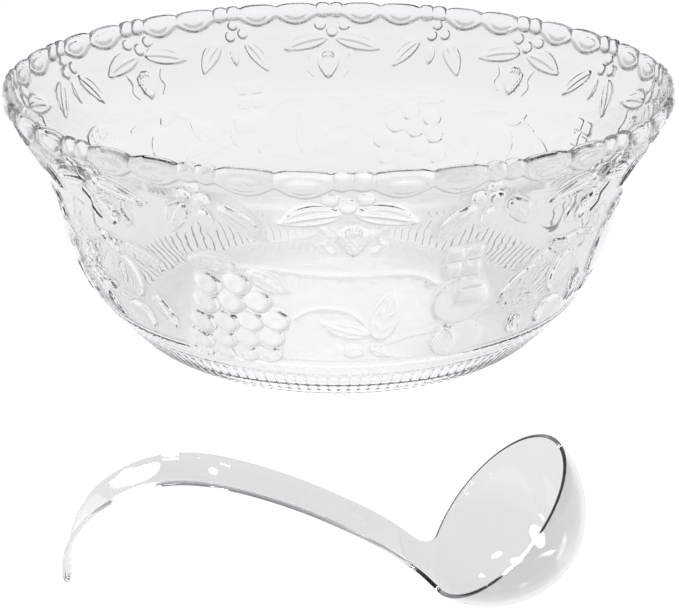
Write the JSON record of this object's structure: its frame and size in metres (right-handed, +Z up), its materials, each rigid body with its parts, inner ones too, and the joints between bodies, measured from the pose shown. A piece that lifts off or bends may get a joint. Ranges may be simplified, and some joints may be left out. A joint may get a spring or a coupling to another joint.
{
  "type": "punch bowl",
  "caption": "Clear moulded round punch bowl with a lobed rim and raised fruit pattern, with a one-piece hooked ladle lying in front of it.",
  "frame": {"origin": "centre of the bowl's flat base, on the table", "axes": "+Z up; the ladle lies in front of the bowl on the -Y side, its cup to +X"},
  "size_m": [0.3416, 0.4774, 0.1334],
  "materials": {
    "bowl_plastic": "clear gloss moulded",
    "ladle_plastic": "clear gloss moulded"
  },
  "bodies": {
    "bowl": {"bowl": "bowl_plastic"},
    "ladle": {"ladle": "ladle_plastic"}
  },
  "joints": [
    {"name": "ladle_lift", "type": "slide", "parent": "bowl", "child": "ladle", "axis": [0, 0, 1], "range_m": [0, 0.3]}
  ]
}
